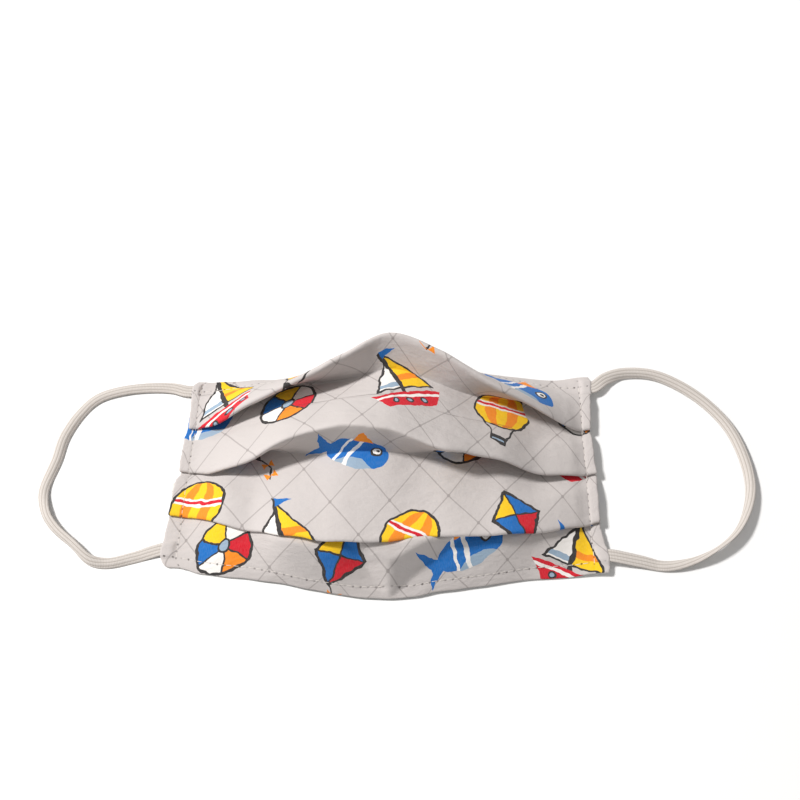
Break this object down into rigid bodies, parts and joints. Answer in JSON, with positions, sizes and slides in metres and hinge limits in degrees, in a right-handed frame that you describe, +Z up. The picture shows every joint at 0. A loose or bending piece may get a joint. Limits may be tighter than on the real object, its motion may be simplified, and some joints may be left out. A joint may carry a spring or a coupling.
{
  "type": "cloth face mask",
  "caption": "Pleated cloth face mask with a plain lining and flat elastic ear loops, lying flat with its pleats opened in the middle.",
  "frame": {"origin": "middle of the bottom of the whole part's box, on the surface that it lies on", "axes": "+X along the mask from its left ear loop to its right one, +Y towards the top hem, +Z up, away from the surface"},
  "size_m": [0.3354, 0.1246, 0.0416],
  "materials": {
    "printed_cotton": "matt woven cotton, printed",
    "lining_cotton": "matt woven cotton with a linen look",
    "elastic": "matt ribbed flat elastic"
  },
  "bodies": {
    "root": {"outer_cloth": "printed_cotton", "lining_cloth": "lining_cotton", "ear_loop_left": "elastic", "ear_loop_right": "elastic"}
  },
  "joints": []
}
